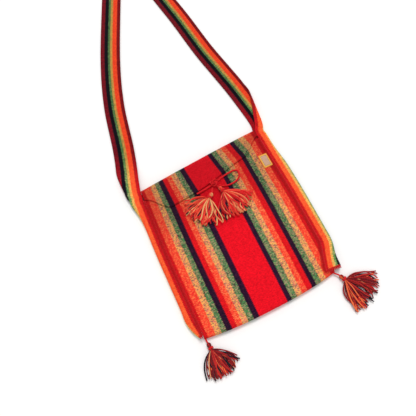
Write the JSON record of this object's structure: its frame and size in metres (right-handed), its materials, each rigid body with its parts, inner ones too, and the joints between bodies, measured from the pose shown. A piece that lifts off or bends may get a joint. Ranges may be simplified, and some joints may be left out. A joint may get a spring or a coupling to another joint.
{
  "type": "woven striped shoulder bag",
  "caption": "Flat loom-woven striped shoulder bag with a fold-over flap, a tie cord, tassels and one band as gussets and strap.",
  "frame": {"origin": "middle of the cloth's flat back face, which rests on the surface", "axes": "+X to the bag's right as seen from the front, +Y from the bottom fold to the mouth, +Z out of the front"},
  "size_m": [0.322, 0.9244, 0.0236],
  "materials": {
    "striped_cloth": "matte warp-faced wool, red with purple, green, tan, orange and dark red stripes",
    "striped_band": "matte warp-faced wool band, dark red, orange, yellow-green, black and dark red",
    "seam_thread": "matte red wool thread",
    "label_cotton": "matte woven cotton",
    "label_thread": "matte yellow cotton thread",
    "tie_cord": "matte red twisted wool cord",
    "tassel_yarn": "matte mixed wool yarn, reds and oranges with tan, green and black",
    "tassel_wrap": "matte red wool yarn"
  },
  "bodies": {
    "root": {"body_cloth": "striped_cloth", "strap_band": "striped_band", "seam_front_left": "seam_thread", "seam_front_right": "seam_thread", "seam_back_left": "seam_thread", "seam_back_right": "seam_thread", "woven_label": "label_cotton", "label_stitching": "label_thread", "tie_cord_tail": "tie_cord", "tie_cord_loop": "tie_cord", "tie_cord_leg_left": "tie_cord", "tie_cord_leg_right": "tie_cord", "tie_knot": "tie_cord", "tie_tassel_left_yarns": "tassel_yarn", "tie_tassel_left_wrap": "tassel_wrap", "tie_tassel_right_yarns": "tassel_yarn", "tie_tassel_right_wrap": "tassel_wrap", "corner_cord_left": "tie_cord", "corner_cord_right": "tie_cord", "corner_tassel_left_yarns": "tassel_yarn", "corner_tassel_left_wrap": "tassel_wrap", "corner_tassel_right_yarns": "tassel_yarn", "corner_tassel_right_wrap": "tassel_wrap"}
  },
  "joints": []
}
